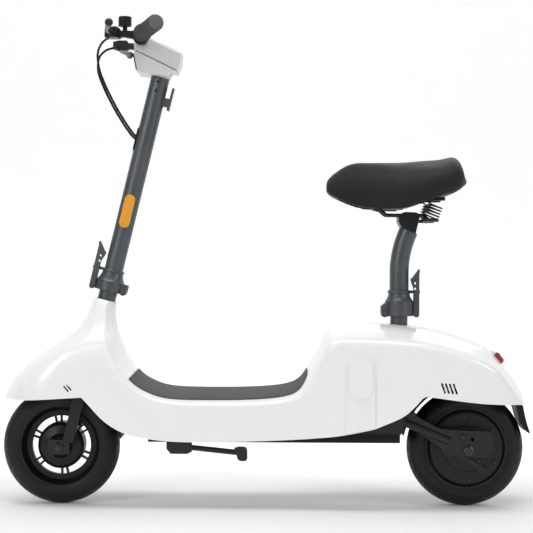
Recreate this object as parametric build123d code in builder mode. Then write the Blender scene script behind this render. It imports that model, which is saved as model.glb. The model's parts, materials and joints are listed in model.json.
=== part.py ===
from build123d import *
import os
from math import atan2, cos, degrees, pi, radians, sin, tan

# Seated electric scooter. Millimetres, +Z up, the front wheel towards -X, the rider's left towards -Y.
# The origin is on the ground, under the middle of the scooter.

os.makedirs("parts", exist_ok=True)

# ---------------------------------------------------------------- driving dimensions
wheel_radius = 127.5
tyre_half_width = 31.5
front_axle_x = -450.6
rear_axle_x = 434.2
axle_z = wheel_radius

stem_tilt = 13.36
neck_x = -353.6
neck_z = 450.8
shell_wall = 3.0

seat_x = 288.6
seat_base_z = 384.0
running_gap = 0.05
face_gap = 0.3

lean = radians(stem_tilt)
stem_up = Vector(sin(lean), 0, cos(lean))
stem_back = Vector(cos(lean), 0, -sin(lean))
front_axle = Vector(front_axle_x, 0, axle_z)
rear_axle = Vector(rear_axle_x, 0, axle_z)


# ---------------------------------------------------------------- helpers
def finish(piece, name):
    """Label a finished piece and write it as a node."""
    piece.part.label = name
    export_step(piece.part, f"parts/{name}.step")


def stem_point(height, back=0.0, side=0.0):
    """A point given by its height along the steering axis from the neck, and how far back of the axis it is."""
    return Vector(neck_x, side, neck_z) + stem_up * height + stem_back * back


def across_stem(height, back=0.0):
    """Plane square to the steering axis: x points back, y to the right, z up the axis."""
    return Plane(origin=stem_point(height, back), x_dir=stem_back, z_dir=stem_up)


def beside_stem(side=0.0):
    """Side plane of the steering column: x points back, y up the axis. It extrudes towards the left."""
    return Plane(origin=stem_point(0, 0, side), x_dir=stem_back, z_dir=(0, -1, 0))


def side_plane(side=0.0):
    """Side plane of the scooter: x is X, y is Z. It extrudes towards the left."""
    return Plane(origin=(0, side, 0), x_dir=(1, 0, 0), z_dir=(0, -1, 0))


def axle_plane(axle, side=0.0):
    """Plane square to an axle, centred on it. It extrudes towards the left."""
    return Plane(origin=(axle.X, side, axle.Z), x_dir=(1, 0, 0), z_dir=(0, -1, 0))


def wheel_section(axle):
    """Plane through an axle: x is along the axle, y is the radius."""
    return Plane(origin=axle, x_dir=(0, 1, 0), z_dir=(1, 0, 0))


def axle_line(axle):
    return Axis((axle.X, 0, axle.Z), (0, 1, 0))


def mirrored(point, side):
    return Vector(point.X, side * point.Y, point.Z)


# ---------------------------------------------------------------- body shell sections
# Each station joins a point on the upper outline (top) to one on the front or lower outline (bottom).
# top x, top z, bottom x, bottom z, half width, crown, corner width, corner depth, end rounding
STATIONS = [
    (-331, 440, -380, 452, 29, 7, 14, 12, 22),
    (-333.5, 416, -393, 420.5, 46, 8, 20, 14, 26),
    (-330.5, 391, -418, 384, 64, 10, 24, 17, 50),
    (-327, 377, -456, 355.5, 80, 12, 26, 18, 78),
    (-323, 364, -513, 316, 93, 13, 27, 19, 105),
    (-318, 350, -569, 247, 99, 14, 28, 20, 125),
    (-312, 337, -580, 188, 102, 15, 28, 20, 130),
    (-301, 317, -560, 116, 104, 15, 28, 20, 120),
    (-286, 295, -440, 117, 105, 15, 28, 20, 80),
    (-269, 279, -366, 120, 105, 15, 28, 20, 50),
    (-250, 268.5, -317, 122, 105, 15, 28, 20, 40),
    (-231, 261, -271, 122, 105, 15, 28, 20, 30),
    (-191, 254.5, -191, 122, 106, 15, 28, 20, 25),
    (-120, 253, -120, 122, 107, 15, 28, 20, 25),
    (-43, 254, -43, 122, 108, 15, 28, 20, 25),
    (12, 257.5, 12, 122, 109, 15, 28, 20, 25),
    (45, 263, 45, 122, 110, 15, 28, 20, 25),
    (71, 276, 71, 122, 112, 15, 29, 22, 25),
    (91, 305, 91, 122, 114, 15, 30, 26, 25),
    (110, 341, 110, 122, 118, 16, 31, 30, 25),
    (123, 371, 123, 122, 121, 17, 32, 32, 25),
    (133, 389, 133, 122, 124, 18, 33, 30, 25),
    (150, 397, 150, 122, 126, 19, 34, 28, 25),
    (205, 400, 205, 122, 126, 20, 35, 28, 25),
    (265, 398, 265, 122, 126, 20, 35, 28, 25),
    (324, 392.5, 324, 122, 126, 20, 35, 28, 25),
    (384, 381, 384, 122, 124, 20, 35, 28, 25),
    (444, 362, 444, 122, 118, 20, 35, 28, 25),
    (495, 334, 495, 122, 105, 19, 34, 28, 25),
    (522, 301, 522, 122, 92, 17, 32, 28, 25),
    (545, 269, 545, 122, 76, 14, 30, 26, 25),
    (558, 240, 558, 122, 62, 10, 28, 24, 25),
]
neck_station = 0
deck_start = 8
deck_end = 19


def section(station, inset):
    """Closed outline of the shell at one station, moved in by inset (out, if it is negative)."""
    top_x, top_z, bottom_x, bottom_z, half_width, crown, corner, depth, ending = station
    reach = Vector(bottom_x - top_x, 0, bottom_z - top_z)
    inward = reach.normalized()
    length = reach.length - 2 * inset
    width = half_width - inset
    run = width - corner
    steep = 2 * crown / run
    low = crown + depth
    high = length - ending
    half = [
        [(0, 0), (run / 3, 0), (2 * run / 3, crown / 3), (run, crown)],
        [(run, crown), (run + 0.55 * corner, crown + 0.55 * corner * steep), (width, low - 0.55 * depth), (width, low)],
        [(width, low), (width, (2 * low + high) / 3), (width, (low + 2 * high) / 3), (width, high)],
        [(width, high), (width, high + 0.55 * ending), (0.55 * width, length), (0, length)],
    ]
    place = Plane(
        origin=Vector(top_x, 0, top_z) + inward * inset,
        x_dir=(0, 1, 0),
        z_dir=Vector(0, 1, 0).cross(inward),
    )
    with BuildSketch(place) as outline:
        with BuildLine():
            for points in half:
                Bezier(*points)
            for points in reversed(half):
                Bezier(*[(-x, y) for x, y in reversed(points)])
        make_face()
    return outline.sketch.face()


# Lower edge of the shell, front to rear: fender, front arch, deck, rear arch, tail.
fender_edge = [(-600, 231.5), (-520, 231), (-397, 238.8)]
front_arch = [(-397, 238.8), (-375, 215.2), (-353, 192.4), (-317, 168.3), (-271.6, 154.4)]
deck_edge = [(-271.6, 154.4), (-219, 147.2), (-120, 145.6), (-41.5, 147.8), (113.3, 157.1), (231.2, 177.7)]
rear_arch = [(231.2, 177.7), (262.9, 191.1), (291.7, 205.5), (314.8, 225.9), (330, 243)]
tail_edge = [(338, 246.5), (401.4, 238.1), (459.3, 231.2), (508.5, 228), (600, 224)]
shell_split_x = 198.0
neck_hole_radius = 22.0
seat_hole_radius = 21.0
vent_turn = -71
rear_vents = [(373.5 + 8.4 * n, 264.5 - 0.4 * n) for n in range(4)]
rear_vent_size = (24.0, 4.2)
front_vent_turn = -50
front_vents = [(-429.5, 257.2), (-423.5, 260.2)]
front_vent_size = (17.0, 3.2)
port_x = 198.5
port_z = 285.0
port_opening = (78.0, 40.0)
reach_out = 200.0


def cut_below_edge():
    """Profile of everything under the shell's lower edge."""
    with BuildSketch(side_plane()) as below:
        with BuildLine():
            Polyline(*fender_edge)
            Spline(*front_arch)
            Spline(*deck_edge)
            Spline(*rear_arch)
            Line(rear_arch[-1], tail_edge[0])
            Spline(*tail_edge)
            Polyline(tail_edge[-1], (600, 50), (-600, 50), fender_edge[0])
        make_face()
    return below.sketch


with BuildPart() as outer_form:
    loft([section(station, 0) for station in STATIONS])

with BuildPart() as shell:
    add(outer_form.part)
    loft([section(station, shell_wall) for station in STATIONS], mode=Mode.SUBTRACT)
    extrude(cut_below_edge(), amount=reach_out, both=True, mode=Mode.SUBTRACT)
    # neck opening for the steering column
    with BuildSketch(across_stem(-30)):
        Circle(neck_hole_radius)
    extrude(amount=60, mode=Mode.SUBTRACT)
    # opening for the seat tube
    with BuildSketch(Plane.XY.offset(350)):
        with Locations((seat_x, 0)):
            Circle(seat_hole_radius)
    extrude(amount=80, mode=Mode.SUBTRACT)
    # slanted vent slots on both sides
    with BuildSketch(side_plane()):
        with Locations(*rear_vents):
            SlotOverall(*rear_vent_size, rotation=vent_turn)
        with Locations(*front_vents):
            SlotOverall(*front_vent_size, rotation=front_vent_turn)
    extrude(amount=reach_out, both=True, mode=Mode.SUBTRACT)
    # charge port opening on the left side
    with BuildSketch(side_plane(-100)):
        with Locations((port_x, port_z)):
            SlotOverall(*port_opening, rotation=90)
    extrude(amount=60, mode=Mode.SUBTRACT)

with BuildPart() as front_shell:
    add(shell.part)
    split(bisect_by=Plane.YZ.offset(shell_split_x), keep=Keep.BOTTOM)
finish(front_shell, "front_shell")

with BuildPart() as rear_shell:
    add(shell.part)
    split(bisect_by=Plane.YZ.offset(shell_split_x), keep=Keep.TOP)
finish(rear_shell, "rear_shell")

# ---------------------------------------------------------------- floor mat
mat_thickness = 2.5
mat_gap = 0.1
mat_front = -345.0
mat_rear = 86.0
mat_end = Vector(-284, 0, 294)
mat_end_way = Vector(-0.655, 0, -0.757)
mat_half_width = 90.0
mat_corner = 34.0

with BuildPart() as floor_mat:
    loft([section(station, -mat_gap - mat_thickness) for station in STATIONS])
    loft([section(station, -mat_gap) for station in STATIONS], mode=Mode.SUBTRACT)
    with BuildSketch(Plane.XY.offset(215)):
        with Locations(((mat_front + mat_rear) / 2, 0)):
            RectangleRounded(mat_rear - mat_front, 2 * mat_half_width, mat_corner)
    extrude(amount=150, mode=Mode.INTERSECT)
    # straight front end, square to the slope of the leg shield
    above, below = mat_end - mat_end_way * 60, mat_end + mat_end_way * 60
    with BuildSketch(side_plane()):
        with BuildLine():
            Polyline((above.X, above.Z), (below.X, below.Z), (-420, below.Z), (-420, 420), (above.X, 420), close=True)
        make_face()
    extrude(amount=reach_out, both=True, mode=Mode.SUBTRACT)
finish(floor_mat, "floor_mat")

# ---------------------------------------------------------------- side strips, charge port and its door
strip_inside = 126.6
strip_thickness = 2.4
strip_front = 167.5
strip_rear = 229.0
strip_shoulder_z = 313.0
strip_top_z = 336.0
strip_edge = [(strip_front, 166.0), (strip_rear, 178.0)]


def side_strip(side):
    """Cover strip over the joint between the two shells; the left one has the charge port opening."""
    inner = strip_inside + strip_thickness if side > 0 else -strip_inside
    with BuildPart() as strip:
        with BuildSketch(side_plane(inner)):
            with BuildLine():
                Line(strip_edge[0], (strip_front, strip_shoulder_z))
                ThreePointArc(
                    (strip_front, strip_shoulder_z), (port_x, strip_top_z), (strip_rear, strip_shoulder_z)
                )
                Polyline((strip_rear, strip_shoulder_z), strip_edge[1], strip_edge[0])
            make_face()
            if side < 0:
                with Locations((port_x, port_z)):
                    SlotOverall(*port_opening, rotation=90, mode=Mode.SUBTRACT)
        extrude(amount=strip_thickness)
    return strip


left_strip = side_strip(-1)
finish(left_strip, "side_strip_left")
right_strip = side_strip(1)
finish(right_strip, "side_strip_right")

door_size = (91.0, 51.0)
door_thickness = 3.0
door_inside = strip_inside + strip_thickness + 0.2
door_hinge_y = -door_inside - door_thickness
door_hinge_z = 331.5
door_knuckle_radius = 1.5
door_knuckle_half = 6.0


with BuildPart() as charge_door:
    with BuildSketch(side_plane(-door_inside)):
        with Locations((port_x, port_z)):
            SlotOverall(*door_size, rotation=90)
    extrude(amount=door_thickness)
    fillet(charge_door.faces().sort_by(Axis.Y)[0].edges(), radius=1.2)
    # hinge leaf and barrel at the top
    with BuildSketch(side_plane(-door_inside)):
        with Locations((port_x, door_hinge_z - 3)):
            Rectangle(2 * door_knuckle_half, 6)
    extrude(amount=door_thickness)
    with BuildSketch(Plane(origin=(port_x, door_hinge_y, door_hinge_z), x_dir=(0, 1, 0), z_dir=(1, 0, 0))):
        Circle(door_knuckle_radius)
    extrude(amount=door_knuckle_half, both=True)
finish(charge_door, "charge_door")

socket_face = 122.4
socket_plate = (88.0, 50.0)

with BuildPart() as charge_socket:
    with BuildSketch(side_plane(-socket_face + 2.5)):
        with Locations((port_x, port_z)):
            SlotOverall(*socket_plate, rotation=90)
    extrude(amount=2.5)
    with BuildSketch(side_plane(-104)):
        with Locations((port_x, port_z)):
            Circle(13)
    extrude(amount=20)
    with BuildSketch(side_plane(-110)):
        with Locations((port_x, port_z)):
            Circle(9)
    extrude(amount=15, mode=Mode.SUBTRACT)
finish(charge_socket, "charge_socket")

# ---------------------------------------------------------------- main frame
rail_inside = 80.0
rail_outside = 98.0
rail_bottom = 165.0
rail_top = 205.0
rail_front = -290.0
rail_rear = 292.0
head_tube_low = -167.0
head_tube_high = -33.0
head_tube_radius = 24.0
head_tube_bore = 20.0
steerer_radius = 14.0
down_tube_top = Vector(-374, 0, 330)
down_tube_low = Vector(-287, 0, 204)
mast_front = 262.0
mast_rear = 306.0
mast_half_width = 24.0
mast_top = 380.0
frame_wall = 3.0
stay_inside = 60.0
stay_outside = 72.0
rear_axle_radius = 7.0
arm_front = Vector(262, 69, 201)
arm_rear = Vector(394, 69, 147)
arm_radius = 9.0
stay_outline = [
    (252, 214), (300, 214), (340, 190), (374, 173), (420, 170), (483, 168),
    (489, 150), (486, 120), (470, 112), (384, 115), (372, 134), (345, 152), (300, 184), (252, 186),
]

with BuildPart() as main_frame:
    # head tube
    with BuildSketch(across_stem(head_tube_low)):
        Circle(head_tube_radius)
    extrude(amount=head_tube_high - head_tube_low)
    # down tube, from the head tube to the front cross beam
    down = down_tube_low - down_tube_top
    with BuildSketch(Plane(origin=down_tube_top, x_dir=(0, 1, 0), z_dir=down)):
        RectangleRounded(46, 34, 8)
    extrude(amount=down.length)
    with BuildSketch(across_stem(head_tube_low - 1)):
        Circle(head_tube_bore)
    extrude(amount=head_tube_high - head_tube_low + 2, mode=Mode.SUBTRACT)
    # bearings at both ends of the head tube
    for low, high in [(head_tube_low - 9, head_tube_low + 3), (head_tube_high - 3, head_tube_high + 17)]:
        with BuildSketch(across_stem(low)):
            Circle(head_tube_bore + 0.5)
            Circle(steerer_radius + running_gap, mode=Mode.SUBTRACT)
        extrude(amount=high - low)
    # front, middle and rear cross beams
    for front, rear, low, high in [(-306, -270, 176, 212), (128, 142, 170, 200), (254, 284, 170, 205)]:
        with BuildSketch(Plane.XY.offset(low)):
            with Locations(((front + rear) / 2, 0)):
                Rectangle(rear - front, 2 * rail_outside)
        extrude(amount=high - low)
    # deck rails
    for side in (-1, 1):
        with BuildSketch(Plane.XY.offset(rail_bottom)):
            with Locations(((rail_front + rail_rear) / 2, side * (rail_inside + rail_outside) / 2)):
                Rectangle(rail_rear - rail_front, rail_outside - rail_inside)
        extrude(amount=rail_top - rail_bottom)
    # rear stays with their dropouts
    for start in (-stay_inside, stay_outside):
        with BuildSketch(side_plane(start)):
            with BuildLine():
                Polyline(*stay_outline, close=True)
            make_face()
            with Locations((rear_axle.X, rear_axle.Z)):
                Circle(rear_axle_radius + running_gap, mode=Mode.SUBTRACT)
            with Locations((443, 151)):
                Circle(4, mode=Mode.SUBTRACT)
        extrude(amount=stay_outside - stay_inside)
    # round arm along each stay
    for side in (-1, 1):
        start, end = (mirrored(point, side) for point in (arm_front, arm_rear))
        with BuildSketch(Plane(origin=start, z_dir=end - start)):
            Circle(arm_radius)
        extrude(amount=(end - start).length)
    # seat mast, a square tube with a top plate
    with BuildSketch(Plane.XY.offset(rail_top - 5)):
        with Locations(((mast_front + mast_rear) / 2, 0)):
            Rectangle(mast_rear - mast_front, 2 * mast_half_width)
            Rectangle(mast_rear - mast_front - 6, 2 * mast_half_width - 6, mode=Mode.SUBTRACT)
    extrude(amount=mast_top - rail_top + 5)
    with BuildSketch(Plane.XY.offset(mast_top)):
        with Locations((seat_x, 0)):
            RectangleRounded(76, 64, 8)
    extrude(amount=seat_base_z - mast_top)
finish(main_frame, "main_frame")

# ---------------------------------------------------------------- belly tray, battery, controller
tray_front = -256.0
tray_rear = 286.0
tray_half_width = 78.0
tray_bottom = 142.0
tray_flange_z = 161.7

with BuildPart() as belly_tray:
    with BuildSketch(Plane.XY.offset(tray_bottom)):
        with Locations(((tray_front + tray_rear) / 2, 0)):
            Rectangle(tray_rear - tray_front, 2 * tray_half_width)
    extrude(amount=tray_flange_z + 3 - tray_bottom)
    fillet(belly_tray.edges().group_by(Axis.Z)[0].filter_by(Axis.X), radius=6)
    with BuildSketch(Plane.XY.offset(tray_flange_z)):
        with Locations(((tray_front + tray_rear) / 2, 0)):
            Rectangle(tray_rear - tray_front, 2 * rail_outside)
    extrude(amount=3)
    with BuildSketch(Plane.XY.offset(tray_bottom + 3)):
        with Locations(((tray_front + tray_rear) / 2, 0)):
            Rectangle(tray_rear - tray_front - 6, 2 * tray_half_width - 6)
    extrude(amount=30, mode=Mode.SUBTRACT)
finish(belly_tray, "belly_tray")

battery_front = -240.0
battery_rear = 118.0
with BuildPart() as battery_pack:
    with BuildSketch(Plane.XY.offset(tray_bottom + 3.5)):
        with Locations(((battery_front + battery_rear) / 2, 0)):
            RectangleRounded(battery_rear - battery_front, 130, 10)
    extrude(amount=72)
    fillet(battery_pack.edges().group_by(Axis.Z)[-1], radius=6)
finish(battery_pack, "battery_pack")

with BuildPart() as controller:
    with BuildSketch(Plane.XY.offset(tray_bottom + 3.5)):
        with Locations((198, 0)):
            RectangleRounded(96, 110, 6)
    extrude(amount=42)
    # cooling fins along the top
    with BuildSketch(Plane.XY.offset(tray_bottom + 45.5)):
        with Locations((198, 0)):
            with GridLocations(0, 12, 1, 8):
                Rectangle(88, 4)
    extrude(amount=8)
finish(controller, "controller")

# ---------------------------------------------------------------- splash guards, mudflap, tail light
guard_thickness = 3.0


def splash_guard(axle, radius, first, last, half_width):
    """Curved guard over part of a wheel, between two angles from straight back (0) over the top (90)."""
    with BuildPart() as guard:
        with BuildSketch(axle_plane(axle)):
            with BuildLine():
                CenterArc((0, 0), radius, first, last - first)
                CenterArc((0, 0), radius + guard_thickness, first, last - first)
                for angle in (radians(first), radians(last)):
                    Line(
                        (radius * cos(angle), radius * sin(angle)),
                        ((radius + guard_thickness) * cos(angle), (radius + guard_thickness) * sin(angle)),
                    )
            make_face()
        extrude(amount=half_width, both=True)
    return guard


front_guard = splash_guard(front_axle, 138.0, 10, 54, 99.0)
finish(front_guard, "front_splash_guard")
rear_guard = splash_guard(rear_axle, 141.0, 44, 168, 57.0)
finish(rear_guard, "rear_splash_guard")

with BuildPart() as rear_mudflap:
    with BuildSketch(side_plane()):
        with BuildLine():
            Line((541, 221), (556, 222))
            Spline((556, 222), (563, 190), (572.4, 160.2))
            Spline((572.4, 160.2), (562, 168.5), (552.5, 185), (541, 221))
        make_face()
    extrude(amount=42, both=True)
finish(rear_mudflap, "rear_mudflap")

with BuildPart() as tail_light:
    with BuildSketch(side_plane()):
        with BuildLine():
            Polyline((490, 326), (497, 337), (503, 336.5), (514.5, 321), (513, 316), (503, 308), close=True)
        make_face()
    extrude(amount=38, both=True)
    fillet(tail_light.edges().filter_by(Axis.Y), radius=2.5)
    loft([section(station, -mat_gap) for station in STATIONS], mode=Mode.SUBTRACT)
finish(tail_light, "tail_light")

# ---------------------------------------------------------------- folding joints (stem and seat use the same set)
cup_radius = 31.0
cup_height = 18.0
hinge_offset = 32.0
hinge_height = 5.0
knuckle_radius = 7.7
hinge_pin_radius = 4.0
ear_inside = 10.0
ear_outside = 17.7
latch_offset = 38.0
latch_height = 3.0
latch_pin_radius = 3.0
latch_half_width = 9.0
latch_lug_half_width = 6.0


def joint_side(base):
    """Side plane of a folding joint: x points to its latch, y up its axis."""
    return Plane(origin=base.origin, x_dir=base.x_dir, z_dir=base.x_dir.cross(base.z_dir))


def joint_base(base, tube_radius, tube_low, bore_radius, bore_high):
    """Lower cup of a folding joint with its hinge lug, its latch lug and the tube under it."""
    side = joint_side(base)
    with BuildPart() as cup:
        with BuildSketch(base):
            Circle(cup_radius)
        extrude(amount=cup_height)
        with BuildSketch(base.offset(tube_low)):
            Circle(tube_radius)
        extrude(amount=-tube_low + 1)
        # latch lug
        with BuildSketch(side):
            with Locations((latch_offset, latch_height)):
                Circle(5.5)
            with Locations((latch_offset - 8, latch_height + 2)):
                Rectangle(14, 8)
        extrude(amount=latch_lug_half_width, both=True)
        # hinge lug
        with BuildSketch(side):
            with Locations((-hinge_offset, hinge_height)):
                Circle(knuckle_radius - 0.3)
            with Locations((-hinge_offset + 6, hinge_height)):
                Rectangle(12, 2 * knuckle_radius - 4)
        extrude(amount=ear_inside - face_gap, both=True)
        # pockets for the ears of the upper collar
        for sign in (-1, 1):
            with BuildSketch(base.offset(tube_low)):
                with Locations((-hinge_offset - 2.5, sign * (ear_inside + ear_outside) / 2)):
                    Rectangle(22, ear_outside - ear_inside + 2 * face_gap)
            extrude(amount=cup_height - tube_low + 1, mode=Mode.SUBTRACT)
        # bore for the latch's pin
        with BuildSketch(side):
            with Locations((latch_offset, latch_height)):
                Circle(latch_pin_radius + running_gap)
        extrude(amount=30, both=True, mode=Mode.SUBTRACT)
        # hinge pin, pressed into the lug, with a head outside each ear
        with BuildSketch(side):
            with Locations((-hinge_offset, hinge_height)):
                Circle(hinge_pin_radius)
        extrude(amount=ear_outside + 2.5, both=True)
        for start in (ear_outside + face_gap, -ear_outside - face_gap - 2):
            with BuildSketch(side.offset(start)):
                with Locations((-hinge_offset, hinge_height)):
                    Circle(hinge_pin_radius + 2)
            extrude(amount=2)
        if bore_radius:
            with BuildSketch(base.offset(tube_low)):
                Circle(bore_radius)
            extrude(amount=bore_high - tube_low, mode=Mode.SUBTRACT)
    return cup


def joint_collar(base, bore_radius, flare_top, taper_top, ring_top, ring_radius):
    """Upper collar of a folding joint: a flare, a taper and a clamp ring on the tube, with two hinge ears."""
    side = joint_side(base)
    low = cup_height + face_gap
    with BuildPart() as collar:
        with BuildSketch(side):
            with BuildLine():
                neck = ring_radius - 1.5
                Polyline((0, low), (cup_radius, low), (cup_radius, flare_top))
                ThreePointArc(
                    (cup_radius, flare_top), (0.62 * neck + 0.38 * cup_radius, 0.6 * flare_top + 0.4 * taper_top),
                    (neck, taper_top - 2),
                )
                Polyline(
                    (neck, taper_top - 2), (neck, taper_top), (ring_radius, taper_top + 1),
                    (ring_radius, ring_top - 1), (ring_radius - 1, ring_top), (0, ring_top), (0, low),
                )
            make_face()
        revolve(axis=Axis(base.origin, base.z_dir))
        with BuildSketch(base.offset(low + 8)):
            Circle(bore_radius)
        extrude(amount=ring_top, mode=Mode.SUBTRACT)
        # hinge ears
        for sign in (-1, 1):
            middle = sign * (ear_inside + ear_outside) / 2
            ear_side = Plane(origin=side.origin + side.z_dir * middle, x_dir=side.x_dir, z_dir=side.z_dir)
            with BuildSketch(ear_side):
                with Locations((-hinge_offset, hinge_height)):
                    Circle(knuckle_radius)
                with BuildLine():
                    Polyline(
                        (-hinge_offset - knuckle_radius, hinge_height), (-hinge_offset - knuckle_radius, low + 3),
                        (-24.5, flare_top), (-22, flare_top), (-22, low + 0.5),
                        (-hinge_offset + knuckle_radius, low + 0.5), (-hinge_offset + knuckle_radius, hinge_height),
                        close=True,
                    )
                make_face()
                with Locations((-hinge_offset, hinge_height)):
                    Circle(hinge_pin_radius + running_gap, mode=Mode.SUBTRACT)
            extrude(amount=(ear_outside - ear_inside) / 2, both=True)
        # the tube bore again, so that the ears stay outside it
        with BuildSketch(base.offset(low + 8)):
            Circle(bore_radius)
        extrude(amount=ring_top, mode=Mode.SUBTRACT)
        # clamp bolt that the latch pulls on
        bolt_height = (taper_top + ring_top) / 2
        with BuildSketch(Plane(origin=base.origin + base.z_dir * bolt_height + base.x_dir * (ring_radius - 2),
                               x_dir=base.z_dir, z_dir=base.x_dir)):
            Circle(3.4)
        extrude(amount=48 - ring_radius)
    return collar


def latch_lever(base, bolt_height):
    """Latch lever: a channel with a beak that points at the tube, on its own pivot pin."""
    side = joint_side(base)
    outer = latch_offset + 6
    inner = cup_radius + 0.8
    with BuildPart() as lever:
        with BuildSketch(side):
            with BuildLine():
                Line((outer, latch_height), (outer, 92))
                Spline((outer, 92), (outer - 0.5, 103), (35, 92), (25.5, 82))
                Spline((25.5, 82), (27, 74), (inner - 0.6, 62), (inner, 50))
                Line((inner, 50), (inner, latch_height))
                ThreePointArc((inner, latch_height), ((inner + outer) / 2, latch_height - 6), (outer, latch_height))
            make_face()
            for height in (72, 60):
                with Locations((35.5, height)):
                    Circle(2.8, mode=Mode.SUBTRACT)
        extrude(amount=latch_half_width, both=True)
        # channel open towards the tube and round the lug, and a slot in its back for the clamp bolt
        with BuildSketch(side):
            with Locations(((inner + outer) / 2 - 8, 35)):
                Rectangle(outer - inner + 10, 120)
            with Locations((outer, 0)):
                Rectangle(20, 24)
        extrude(amount=latch_lug_half_width + face_gap, both=True, mode=Mode.SUBTRACT)
        with BuildSketch(Plane(origin=base.origin + base.x_dir * 36, x_dir=base.z_dir, z_dir=base.x_dir)):
            with Locations((bolt_height + 7, 0)):
                SlotOverall(38, 9)
        extrude(amount=20, mode=Mode.SUBTRACT)
        with BuildSketch(side):
            with Locations((latch_offset, latch_height)):
                Circle(latch_pin_radius)
        extrude(amount=latch_half_width, both=True)
    return lever


# ---------------------------------------------------------------- steering: bearings, fork, base cup
steerer_top = 8.0
crown_low = -203.0
crown_high = -178.0
leg_inside = 42.0
leg_outside = 54.0
end_inside = 40.0
end_outside = 56.0
front_axle_radius = 6.0
stem_cup_height = 15.0
stem_tube_radius = 20.5
stem_base_tube_radius = 20.0

with BuildPart() as fork:
    with BuildSketch(across_stem(crown_low)):
        with Locations((-3, 0)):
            RectangleRounded(32, 2 * leg_outside, 6)
    extrude(amount=crown_high - crown_low)
    with BuildSketch(across_stem(crown_high - 1)):
        Circle(steerer_radius)
    extrude(amount=steerer_top - crown_high + 1)
    for start in (-leg_inside, leg_outside):
        with BuildSketch(beside_stem(start)):
            with BuildLine():
                Polyline((-16, crown_high - 8), (11, crown_high - 8), (7, -322), (-15, -322), close=True)
            make_face()
        extrude(amount=leg_outside - leg_inside)
    for start in (-end_inside, end_outside):
        with BuildSketch(axle_plane(front_axle, start)):
            RectangleRounded(46, 32, 5)
        extrude(amount=end_outside - end_inside)
    with BuildSketch(axle_plane(front_axle)):
        Circle(front_axle_radius + running_gap)
    extrude(amount=leg_outside, both=True, mode=Mode.SUBTRACT)
finish(fork, "fork")

with BuildPart() as front_axle_bar:
    with BuildSketch(axle_plane(front_axle)):
        Circle(front_axle_radius)
    extrude(amount=leg_outside - 0.5, both=True)
finish(front_axle_bar, "front_axle")

stem_joint = Plane(origin=stem_point(stem_cup_height), x_dir=-stem_back, z_dir=stem_up)
stem_base = joint_base(
    stem_joint, stem_base_tube_radius, -27.0, steerer_radius + running_gap, steerer_top - stem_cup_height + 1
)
finish(stem_base, "stem_base_cup")
stem_collar = joint_collar(stem_joint, stem_tube_radius + running_gap, 22, 42, 48, 24.5)
finish(stem_collar, "stem_collar")
stem_latch = latch_lever(stem_joint, 45)
finish(stem_latch, "stem_latch_lever")

# ---------------------------------------------------------------- front wheel
rim_radius = 92.3
bead_radius = 92.5
rim_half_width = 29.0
tyre_centre_radius = 100.0
tyre_wall = 5.0
window_inside = 50.5
window_outside = 64.0
spoke_width = 4.5
front_bore = front_axle_radius + running_gap


def tyre(axle):
    """Tyre carcass: a hollow ring, open at the bead, where it sits on the rim."""
    with BuildPart() as ring:
        with BuildSketch(wheel_section(axle)):
            with Locations((0, tyre_centre_radius)):
                Ellipse(tyre_half_width, wheel_radius - tyre_centre_radius)
                Ellipse(
                    tyre_half_width - tyre_wall,
                    wheel_radius - tyre_centre_radius - tyre_wall,
                    mode=Mode.SUBTRACT,
                )
            with Locations((0, bead_radius - 25)):
                Rectangle(2 * tyre_half_width + 2, 50, mode=Mode.SUBTRACT)
        revolve(axis=axle_line(axle))
    return ring


finish(tyre(front_axle), "front_tyre")

with BuildPart() as front_rim:
    with BuildSketch(wheel_section(front_axle)):
        with BuildLine():
            Polyline(
                (-36, front_bore), (-36, 20), (-27, 27), (-22, 44), (-16, window_inside), (-6, window_inside),
                (-6, 76), (-24, 83), (-rim_half_width, 85), (-rim_half_width, rim_radius),
                (rim_half_width, rim_radius), (rim_half_width, 85), (24, 83), (6, 76), (6, window_inside),
                (30, window_inside), (30, 43.5), (2, 43.5), (2, 18), (30, 18), (30, front_bore), close=True,
            )
        make_face()
    revolve(axis=axle_line(front_axle))
    # six pairs of thin spokes: a ring of windows, less the spokes
    with BuildSketch(axle_plane(front_axle)):
        Circle(window_outside)
        Circle(window_inside + 0.5, mode=Mode.SUBTRACT)
        for pair in range(6):
            for offset in (-6.0, 6.0):
                with PolarLocations(57, 1, start_angle=-23 + 60 * pair + offset):
                    Rectangle(24, spoke_width, mode=Mode.SUBTRACT)
    extrude(amount=8, both=True, mode=Mode.SUBTRACT)
finish(front_rim, "front_rim")

with BuildPart() as front_brake_plate:
    with BuildSketch(axle_plane(front_axle, 38.5)):
        Circle(42.5)
        Circle(front_axle_radius + running_gap, mode=Mode.SUBTRACT)
    extrude(amount=5)
    # brake shoes inside the drum
    with BuildSketch(axle_plane(front_axle, 34)):
        Circle(42)
        Circle(32, mode=Mode.SUBTRACT)
        Rectangle(100, 14, mode=Mode.SUBTRACT)
    extrude(amount=26)
finish(front_brake_plate, "front_brake_plate")

# ---------------------------------------------------------------- rear wheel with hub motor
rear_hub_bore = 12.0
motor_inside_radius = 72.0
cover_radius = 77.0
cover_inside = -31.0
cover_thickness = 4.5
cover_screws = 6
cover_screw_circle = 69.0

finish(tyre(rear_axle), "rear_tyre")

with BuildPart() as motor_hub:
    with BuildSketch(wheel_section(rear_axle)):
        with BuildLine():
            Polyline(
                (31, rear_hub_bore + running_gap), (31, 58), (26, 76), (12, 80), (rim_half_width, 85),
                (rim_half_width, rim_radius), (-rim_half_width, rim_radius), (-rim_half_width, 85),
                (-24, 81), (cover_inside + 0.1, 79), (cover_inside + 0.1, motor_inside_radius),
                (25, motor_inside_radius), (25, rear_hub_bore + running_gap), close=True,
            )
        make_face()
    revolve(axis=axle_line(rear_axle))
finish(motor_hub, "motor_hub")

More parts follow.
